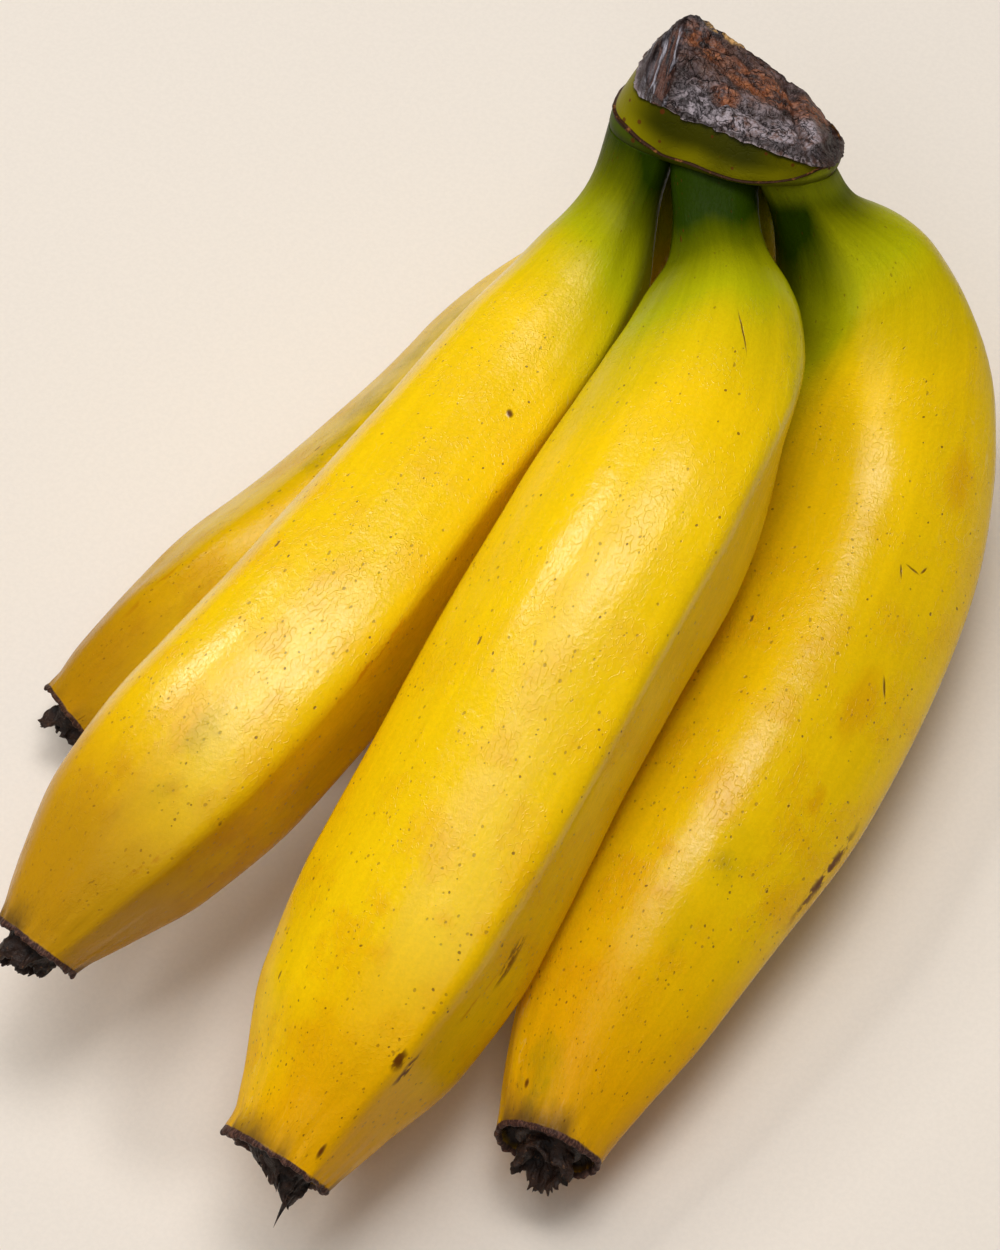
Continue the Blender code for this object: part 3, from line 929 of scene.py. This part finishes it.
def peel_material(name, spec, marks, colours):
    material, start = new_material(name + "_peel")
    place = start.attribute("peel_place", "Vector")
    growth = start.attribute("growth")
    ridge = start.attribute("ridge")
    long_place = place.stretch(1, 1, 0.28)
    broad = long_place.noise(42.0, 3.0, 0.55)
    patches = place.noise(110.0, 4.0, 0.6)
    streaks = place.stretch(1, 1, 0.045).noise(520.0, 3.0, 0.6)
    grain = place.noise(1500.0, 3.0, 0.65)
    wobble = place.wobble(260.0, 3.0, 0.6)

    colour, ripening = ripening_colour(spec, colours, place, growth, streaks, broad)
    # Deeper gold in slow patches, more of it towards the tip.
    colour = (patches.span(0.42, 0.72) * ripening).blend(colour, colours.gold)
    amber_share = long_place.noise(75.0, 3.0, 0.6).span(0.56, 0.80) * ripening
    colour = (amber_share * 0.35).blend(colour, colours.amber)
    # Green lingers along the ridges near the neck, and the crests wear to gold further on.
    colour = (ridge * growth.span(0.40, 0.12) * 0.35).blend(colour, colours.shoulder)
    colour = (ridge * growth.span(0.35, 0.8) * 0.25).blend(colour, colours.gold)
    # Fibres and finer grain.
    colour = colour.tinted(streaks.span(0.35, 0.7, 0.965, 1.03))
    colour = colour.tinted(grain.span(0.3, 0.7, 0.96, 1.04))
    speckled = speckles(place, wobble, growth, patches)
    colour = (speckled * 0.72).blend(colour, colours.speck)
    # Faint pale scratches.
    line = place.stretch(1, 1, 0.33).noise(380.0, 1.0, 0.4).from_middle().span(0.008, 0.0)
    line = line * broad.span(0.52, 0.62, 0.0, 0.22) * growth.span(0.2, 0.3)
    colour = line.blend(colour, tone(252, 230, 150))
    # Fine crinkles of wax, which only the gloss shows.
    wax = place.stretch(1, 1, 0.6).noise(980.0, 1.0, 0.5).from_middle().span(0.035, 0.0)
    wax = wax * patches.span(0.42, 0.58, 0.25, 1.0)
    height = wax * 0.24 + (speckled * -0.45 + (streaks * 0.5 + grain * 0.35))

    broken = place.stretch(1, 1, 0.4).noise(750.0, 3.0, 0.6)
    for kind, *shape in marks:
        key, share, lift, wander = MARK_LOOKS[kind]
        mask = peel_mark(place.moved(wobble, wander * MM * 2), spec, *shape)
        if kind == "green":
            mask = mask * patches.span(0.38, 0.62, 0.3, 1.0)
        if kind in ("blotch", "scuff"):
            mask = mask * broken.span(0.43, 0.53)
        colour = (mask * share).blend(colour, getattr(colours, key))
        if lift:
            height = mask * lift + height

    # The stained tip, its corky lip, and the dark cup inside it.
    # On the two left bananas the tan also paints shade on their lower ends.
    start_tan, full_tan, share = spec["tan"]
    off_patches = patches - 0.5
    paler = (off_patches * 0.10 + growth).span(start_tan, full_tan, 0.0, share)
    colour = paler.blend(colour, colours.tan)
    stain = off_patches * 0.03 + growth
    smudges = place.stretch(1, 1, 0.2).noise(62.0, 2.0, 0.5).span(0.47, 0.60)
    stained = (stain.span(0.965, 1.003) * smudges).most(stain.span(0.99, 1.002, 0.0, 0.5))
    colour = (stained * 0.85).blend(colour, colours.smudge)
    lip = (off_patches * 0.9 + start.attribute("lip")).span(0.55, 0.85)
    colour = lip.blend(colour, grain.span(0.45, 0.62).blend(colours.lip, tone(104, 74, 62)))
    colour = start.attribute("cup").blend(colour, colours.dried)
    # Painted shade: the body past the neck is darkened by the banana's painted shade factor.
    colour = colour.tinted(spec["painted_shade"], growth.span(0.22, 0.40))

    rough = patches.span(0.3, 0.7, 0.17, 0.27) + growth.span(0.16, 0.04, 0.0, 0.12)
    gloss = growth.span(0.09, 0.26, 0.08, 1.0) * growth.span(0.73, 0.86, 1.0, 0.22)
    waves = patches.bump(0.0005, 0.5)
    return paint(
        material,
        {
            "Base Color": colour,
            "Roughness": rough + speckled * 0.15 + lip * 0.15,
            "Specular IOR Level": gloss * spec["gloss"],
            "Subsurface Weight": 0.06,
            "Subsurface Radius": (1.0, 0.6, 0.15),
            "Subsurface Scale": 0.0015,
            "Normal": height.bump(0.00012, 1.0, waves),
        },
    )


def patch(a, b, middle_a, middle_b, half_a, half_b):
    """1 in the middle of an ellipse on the cut, falling to 0 at its edge; sizes in mm."""
    off_a = (a - middle_a * MM) / (half_a * MM)
    off_b = (b - middle_b * MM) / (half_b * MM)
    return (off_a * off_a + off_b * off_b).span(1.0, 0.0)


# Rust patches on the cut: middle along and across the crown, half sizes.
RUST_PATCHES = (
    (-6.5, 5.5, 6.0, 3.3), (4.5, 4.0, 9.0, 5.1), (-0.8, -2.6, 3.3, 2.7), (14.2, 4.4, 5.4, 5.4),
)
TAN_PATCH = (-3.0, 9.5, 6.0, 2.4)


def band_colour(colours, place, part, a, blur, fine):
    """The stalk skin under the scar line, the line, and the band, darker in its upper middle:
    painted shade under the cap's overhang, with painted shade at the stalk's foot too.
    """
    # Painted shade: the stalk is drawn darker green on the left and towards its foot, so the
    # rounded foot where it meets the necks doesn't catch light.
    stalk = a.span(-0.012, 0.004, 0.9, 0.0).blend(colours.stalk, tone(58, 76, 1))
    stalk = part.span(0.09, 0.0, 0.0, 0.5).blend(stalk, colours.band_dark)
    # Painted shade: the band's upper middle and its top under the cap's overhang are drawn in the
    # band shade colour.
    shade = a.span(-0.019, -0.010) * a.span(0.016, 0.005) * part.span(0.20, 0.62)
    shade = shade.most(part.span(0.70, 0.89))
    band = blur.span(0.35, 0.70, 0.0, 0.5).blend(colours.band, colours.band_dark)
    band = (shade * 0.9).blend(band, colours.band_dark)
    specks = flecks(place, 420.0, 0.9, 0.13, blur.span(0.3, 0.6, 0.3, 1.0))
    band = part.span(0.15, 0.165).blend(stalk, band)
    band = (specks * 0.8).blend(band, colours.speck)
    scar = fine.span(0.52, 0.68).blend(colours.scar, tone(132, 84, 42))
    return abs(part - 0.160).span(0.048, 0.036).blend(band, scar)


def crown_material(colours):
    material, start = new_material("crown_band_and_cut")
    place = start.attribute("cut_place", "Vector")
    part = start.attribute("part")
    a = start.make("SeparateXYZ", (place,))
    b = a.other(1)
    coarse = place.noise(160.0, 4.0, 0.65)
    fine = place.noise(700.0, 4.0, 0.7)
    blur = place.noise(75.0, 2.0, 0.5)
    bend = place.wobble(420.0, 2.0, 0.6)
    warped = place.moved(bend, 0.0022)
    band = band_colour(colours, place, part, a, blur, fine)

    # The dried cut: a cracked crust with pale ridges between fine dark pits.
    seams = warped.stretch(0.55, 1.0, 0.6).voronoi(300.0, "DISTANCE_TO_EDGE").span(0.045, 0.0)
    curls = place.moved(bend, 0.006).stretch(0.9, 0.7, 0.6).noise(520.0, 1.0, 0.4).from_middle()
    cut = blur.span(0.38, 0.60).blend(colours.cut_dark, colours.cut_brown)
    cut = coarse.span(0.52, 0.36, 0.0, 0.7).blend(cut, tone(34, 24, 24))
    cut = fine.span(0.48, 0.66, 0.0, 0.8).blend(cut, tone(112, 92, 92))
    silver = b.span(0.0015, -0.0055) * a.span(-0.011, -0.005) * coarse.span(0.30, 0.52)
    beyond = b * -LOBE_CREASE[1] + a - LOBE_CREASE[0] * MM
    streak = beyond.span(0.0, 0.0006) * beyond.span(0.0042, 0.0022) * b.span(0.003, -0.002)
    silver = (silver * beyond.span(0.0002, -0.0006)).most(streak)
    cut = (silver * fine.span(0.34, 0.60) * 0.95).blend(cut, colours.cut_silver)
    # Long pale and brown stripes on the left facet.
    stripes = place.stretch(1.0, 0.10, 0.16).noise(820.0, 2.0, 0.6)
    in_facet = (b * 0.06 + a).span(-0.0098, -0.0106)
    stripe = stripes.ramp(
        (
            (0.36, tone(38, 30, 32)),
            (0.44, tone(98, 62, 50)),
            (0.50, tone(52, 38, 36)),
            (0.56, tone(164, 160, 170)),
            (0.62, tone(58, 48, 50)),
        )
    )
    low_end = a.span(-0.0125, -0.0155) * b.span(0.001, -0.003) * coarse.span(0.35, 0.6)
    stripe = low_end.blend(stripe, colours.cut_silver)
    peak = b.span(0.0055, 0.0075) * a.span(-0.004, -0.006)
    cut = (in_facet * peak.span(1.0, 0.0)).blend(cut, stripe)
    ash = fine.span(0.40, 0.60).blend(tone(44, 40, 42), tone(108, 100, 104))
    cut = peak.blend(cut, ash)
    cut = (start.attribute("hollow") * 0.6).blend(cut, tone(26, 17, 17))
    # Rust, with brighter flakes in it, and the charred right end.
    flake = warped.stretch(0.45, 1.0, 1.0).noise(520.0, 3.0, 0.65)
    rust = patch(a, b, *RUST_PATCHES[0])
    for spot in RUST_PATCHES[1:]:
        rust = rust.most(patch(a, b, *spot))
    rusty = fine.span(0.45, 0.68).blend(colours.cut_rust, tone(190, 116, 64))
    cut = (rust * flake.span(0.36, 0.60) * 0.85).blend(cut, rusty)
    charred = beyond.span(0.0030, 0.0052) * b.span(0.006, 0.001)
    cut = (charred * 0.45).blend(cut, tone(36, 26, 25))
    # Dark seams and pits.
    facet_free = start.make("Math", (1.0, in_facet), operation="SUBTRACT", use_clamp=True)
    seams = seams * facet_free * coarse.span(0.42, 0.60, 0.0, 0.7)
    pits = curls.span(0.035, 0.008) * coarse.span(0.30, 0.55, 0.35, 1.0)
    pits = pits * (silver * 0.35 + 0.5) * facet_free
    cut = seams.blend(cut, tone(20, 14, 14))
    cut = pits.blend(cut, tone(36, 20, 14))
    cut = (start.attribute("crack") * 0.9).blend(cut, tone(14, 9, 9))
    cut = fine.span(0.38, 0.26, 0.0, 0.8).blend(cut, tone(16, 11, 11))
    # The rim is charred, and tan skin shows along the back edge.
    rim = abs(part - 0.985).span(0.085, 0.03) * coarse.span(0.3, 0.5, 0.5, 1.0)
    cut = (rim * 0.8).blend(cut, tone(38, 26, 24))
    tan = patch(a, b, *TAN_PATCH) * part.span(1.14, 1.04) * flake.span(0.44, 0.54)
    cut = tan.blend(cut, tone(206, 160, 98))

    on_cut = part.span(0.885, 0.90)
    height = pits * -0.7 + (seams * -0.9 + fine * 0.7)
    height = stripes * in_facet * 1.5 + (curls.span(0.05, 0.10) * 0.15 + height)
    height = height * part.span(0.885, 0.90, 0.06, 1.0)
    return paint(
        material,
        {
            "Base Color": ((fine - 0.5) * 0.012 + part).span(0.888, 0.894).blend(band, cut),
            "Roughness": on_cut * fine.span(0.3, 0.7, -0.02, 0.2) + 0.42,
            "Specular IOR Level": on_cut * 0.40 + 0.05,
            "Normal": height.bump(0.0007, 1.0),
        },
    )


def dried_material(colours):
    material, start = new_material("dried_flower")
    place = start.make("TexCoord", output="Object")
    coarse = place.noise(380.0, 4.0, 0.65)
    fine = place.noise(1400.0, 3.0, 0.7)
    colour = coarse.span(0.35, 0.7).blend(colours.dried, tone(58, 38, 28))
    colour = fine.span(0.60, 0.72, 0.0, 0.7).blend(colour, tone(128, 90, 62))
    return paint(
        material,
        {
            "Base Color": coarse.span(0.42, 0.28, 0.0, 0.8).blend(colour, tone(14, 9, 8)),
            "Roughness": fine.span(0.3, 0.7, 0.38, 0.62),
            "Specular IOR Level": 0.25,
            "Normal": fine.bump(0.0004, 0.8),
        },
    )


def floor_material(colours):
    material, start = new_material("pale_floor")
    grain = start.make("TexCoord", output="Object").noise(1200.0, 2.0, 0.6)
    colour = grain.span(0.3, 0.7, 0.985, 1.015).tinted(colours.floor)
    return paint(material, {"Base Color": colour, "Roughness": 0.9, "Specular IOR Level": 0.2})


# ======================================================================
# Blossom ends
# ======================================================================
# What each blossom end is like, in the order of BANANA_NAMES.
BLOSSOM_TRAITS = {
    # Radius against the tip's.
    "share": (0.92, 0.94, 0.7, 0.84, 0.84),
    # How far the withered tube stands out, and how much it narrows.
    "stands": (5.4, 5.6, 5.4, 4.8, 4.6),
    "taper": (0.8, 0.46, 0.98, 0.7, 0.75),
    # Which way and how far it leans, and its longer side, in degrees.
    "lean": ((60, 0.6), (-85, 3.0), (185, 1.2), (60, 0.8), (20, 0.6)),
    "long_side": ((100, 0.35), (-85, 0.7), (190, 0.45), (60, 0.5), (20, 0.4)),
    # How many folds, and how deep.
    "folds": ((5, 0.12), (4, 0.16), (4, 0.2), (5, 0.12), (5, 0.12)),
    # Length of the thread it ends in.
    "spike": (0.0, 5.0, 0.0, 0.0, 0.0),
    "seed": (3, 8, 5, 13, 17),
}
TUBE_STEPS_ROUND = 112
SPIKE_ROWS = 14
SPIKE_FOOT = 2.2
# Rows of a withered flower tube: share of its radius, share of its height, mm below
# the tip, and how much of the crumpling reaches it.
TUBE_FOOT = (
    (0.0, 0.0, -2.0, 0.0), (0.6, 0.0, -2.0, 0.0), (1.0, 0.0, -2.0, 0.0), (1.0, 0.0, -1.4, 0.1),
    (0.95, 0.0, -1.1, 0.3), (0.89, 0.0, -1.0, 0.5), (0.84, 0.0, -1.0, 0.6), (0.79, 0.0, -0.9, 0.7),
)


def tube_rows(taper):
    """The rows of the tube: up the outside, over the ragged rim, and down to its floor."""
    rows = list(TUBE_FOOT)
    for k in np.linspace(0, 1, 13):
        rows.append((0.75 * (1 - (1 - taper) * k), k, -0.8 * (1 - k), 1.0))
    top = 0.75 * taper
    rows += [(top * 0.95, 1.0, 0.12, 1.0), (top * 0.88, 1.0, 0.0, 1.0)]
    for k in np.linspace(0.9, 0, 11):
        rows.append((0.36 + (top * 0.84 - 0.36) * k, k, -0.3 * (1 - k), 1.0))
    rows += [(0.26, 0.0, -0.1, 0.8), (0.13, 0.0, 0.1, 0.5), (0.0, 0.0, 0.1, 0.0)]
    return np.array(rows)


def blossom_tube(name, radius, look):
    """The withered flower: a crumpled, ragged tube on a dried disc."""
    rows = tube_rows(look["taper"])
    tube, angle, row = flat_grid(name, TUBE_STEPS_ROUND, len(rows) - 1)
    reach, rise, drop, loose = rows[row].T
    circle = flat(np.cos(angle), np.sin(angle))
    seed = look["seed"]
    side, more = look["long_side"]
    teeth = 1 - 0.8 * np.abs(ripple(circle, 1.5, seed, 3))
    teeth -= 0.14 * np.abs(ripple(circle, 4.5, seed + 1, 2))
    tall = look["stands"] * teeth * (1 - more * (0.5 - 0.5 * np.cos(angle - radians(side))))
    count, depth = look["folds"]
    folds = np.cos(count * angle + seed) + 0.6 * ripple(circle, 1.5, seed + 2, 3)
    reach = reach * radius * (1 + depth * folds * rise**0.5)
    height = rise * tall + drop
    points = np.stack((np.cos(angle) * reach, np.sin(angle) * reach, height), -1)
    for axis in range(3):
        crease = ripple(points, 0.35, seed + 20 + axis, 3)
        fine = ripple(points, 1.3, seed + 30 + axis, 2)
        amount = loose * (0.75 if axis < 2 else 0.35)
        points[:, axis] += amount * (crease + 0.3 * fine)
    way, lean = look["lean"]
    bent = lean * np.clip(height / look["stands"], 0, 1) ** 1.2
    points[:, 0] += bent * cos(radians(way))
    points[:, 1] += bent * sin(radians(way))
    return tube, points


def blossom_spike(name, look, radius):
    """A thin dry thread that the long side of the tube ends in."""
    spike, angle, row = flat_grid(name, 8, SPIKE_ROWS)
    angle, v = angle + pi, row / SPIKE_ROWS
    wide = np.where((v <= 0) | (v >= 1), 0.0, 0.75 * (1 - v) ** 1.3 + 0.03)
    way, lean = look["lean"]
    reach = lean + radius * 0.18 + 0.6 * v**2
    rise = SPIKE_FOOT + v * (look["spike"] + 1.5)
    middle = (reach * cos(radians(way)), reach * sin(radians(way)), rise)
    ring = flat(np.cos(angle) * wide, np.sin(angle) * wide)
    put_points(spike, np.stack(np.broadcast_arrays(*middle), -1) + ring)
    close_skin(spike)
    return spike


def place_blossom(spec):
    """The turn and place that bring a piece made round +Z to a banana's tip."""
    forward, top, _ = section_axes(spec, np.array((1.0,)))
    tip = centre_line(spec)[-1]
    axes = (Vector(top[0]), Vector(np.cross(forward[0], top[0])), Vector(forward[0]))
    turn = Matrix(axes).transposed()
    return Matrix.Translation(Vector(tip) * MM) @ turn.to_4x4()


def add_blossom(banana, spec, material):
    place = BANANA_NAMES.index(banana)
    look = {trait: values[place] for trait, values in BLOSSOM_TRAITS.items()}
    node = banana.replace("banana", "blossom_end")
    radius = spec["girth"][-1] * look["share"]
    tube, points = blossom_tube(node + "_tube", radius, look)
    put_points(tube, points)
    close_skin(tube)
    extras = [blossom_spike(node + "_spike", look, radius)] if look["spike"] else []
    bpy.ops.object.select_all(action="DESELECT")
    for piece in (tube, *extras):
        piece.select_set(True)
    bpy.context.view_layer.objects.active = tube
    bpy.ops.object.join()
    tube.data.transform(place_blossom(spec))
    tube.data.update()
    bpy.ops.object.shade_smooth()
    hand_over(tube, node, material)


# ======================================================================
# Operators
# ======================================================================
class BUNCH_OT_add_crown(bpy.types.Operator):
    """Add the cut crown that all the necks grow from"""

    bl_idname = "bunch.add_crown"
    bl_label = "Crown"

    def execute(self, context):
        skin = crown_skin(context.scene.bunch_sizes)
        hand_over(skin, "crown", crown_material(context.scene.bunch_colours))
        return {"FINISHED"}


class BUNCH_OT_add_bananas(bpy.types.Operator):
    """Add the five peels, each on its own centre line"""

    bl_idname = "bunch.add_bananas"
    bl_label = "Bananas"

    def execute(self, context):
        for name, spec in BANANAS.items():
            skin = banana_skin(name + "_skin", spec, context.scene.bunch_sizes)
            peel = peel_material(name, spec, PEEL_MARKS[name], context.scene.bunch_colours)
            hand_over(skin, name, peel)
        return {"FINISHED"}


class BUNCH_OT_add_blossom_ends(bpy.types.Operator):
    """Add the dried flower remains at the five tips"""

    bl_idname = "bunch.add_blossom_ends"
    bl_label = "Blossom ends"

    def execute(self, context):
        dried = dried_material(context.scene.bunch_colours)
        for name, spec in BANANAS.items():
            add_blossom(name, spec, dried)
        return {"FINISHED"}


def add_area_light(name, towards, size, power, colour):
    """A square softbox that faces the middle of the bunch."""
    out = Vector(towards).normalized()
    bpy.ops.object.light_add(type="AREA", location=VIEW_CENTRE * MM + out * LIGHT_DISTANCE)
    lamp = bpy.context.active_object
    lamp.name = name
    lamp.rotation_euler = out.to_track_quat("Z", "Y").to_euler()
    lamp.data.size = size
    lamp.data.energy = power
    lamp.data.color = colour


class BUNCH_OT_set_stage(bpy.types.Operator):
    """Set the pale floor, the soft lights and the camera"""

    bl_idname = "bunch.set_stage"
    bl_label = "Stage"

    def execute(self, context):
        bpy.ops.object.select_all(action="DESELECT")
        bpy.ops.mesh.primitive_plane_add(size=FLOOR_SIZE, location=(0, 0, -FLOOR_DROP))
        floor = context.active_object
        floor.name = "floor"
        bpy.ops.object.transform_apply(location=True, rotation=True, scale=True)
        floor.data.materials.append(floor_material(context.scene.bunch_colours))

        world = bpy.data.worlds.new("studio")
        world.use_nodes = True
        background = world.node_tree.nodes["Background"]
        background.inputs["Color"].default_value = (1.0, 0.96, 0.92, 1.0)
        background.inputs["Strength"].default_value = WORLD_LIGHT
        context.scene.world = world
        for light in LIGHTS:
            add_area_light(*light)

        turn, rise = VIEW_TURN, VIEW_RISE
        back = Vector((sin(turn) * cos(rise), -cos(turn) * cos(rise), sin(rise)))
        bpy.ops.object.camera_add(location=(VIEW_CENTRE + back * VIEW_DISTANCE) * MM)
        camera = context.active_object
        camera.rotation_euler = back.to_track_quat("Z", "Y").to_euler()
        camera.data.sensor_width = SENSOR
        camera.data.lens = LENS
        camera.data.clip_start = 0.01
        context.scene.camera = camera
        context.scene.view_settings.view_transform = "Standard"
        return {"FINISHED"}


class BUNCH_PT_panel(bpy.types.Panel):
    """Buttons for each part of the bunch, and its sizes and colours"""

    bl_idname = "BUNCH_PT_panel"
    bl_label = "Banana bunch"
    bl_space_type = "VIEW_3D"
    bl_region_type = "UI"
    bl_category = "Bananas"

    def draw(self, context):
        layout = self.layout
        for operator in OPERATORS:
            layout.operator(operator.bl_idname)
        for group in (context.scene.bunch_sizes, context.scene.bunch_colours):
            box = layout.box()
            for key in group.__annotations__:
                box.prop(group, key)


OPERATORS = (
    BUNCH_OT_add_crown,
    BUNCH_OT_add_bananas,
    BUNCH_OT_add_blossom_ends,
    BUNCH_OT_set_stage,
)
CLASSES = (BunchSizes, BunchColours, *OPERATORS, BUNCH_PT_panel)


def register():
    for kind in CLASSES:
        bpy.utils.register_class(kind)
    bpy.types.Scene.bunch_sizes = PointerProperty(type=BunchSizes)
    bpy.types.Scene.bunch_colours = PointerProperty(type=BunchColours)


def unregister():
    del bpy.types.Scene.bunch_colours
    del bpy.types.Scene.bunch_sizes
    for kind in reversed(CLASSES):
        bpy.utils.unregister_class(kind)


def main():
    register()
    bpy.ops.bunch.add_crown()
    bpy.ops.bunch.add_bananas()
    bpy.ops.bunch.add_blossom_ends()
    bpy.ops.bunch.set_stage()


if __name__ == "__main__":
    main()
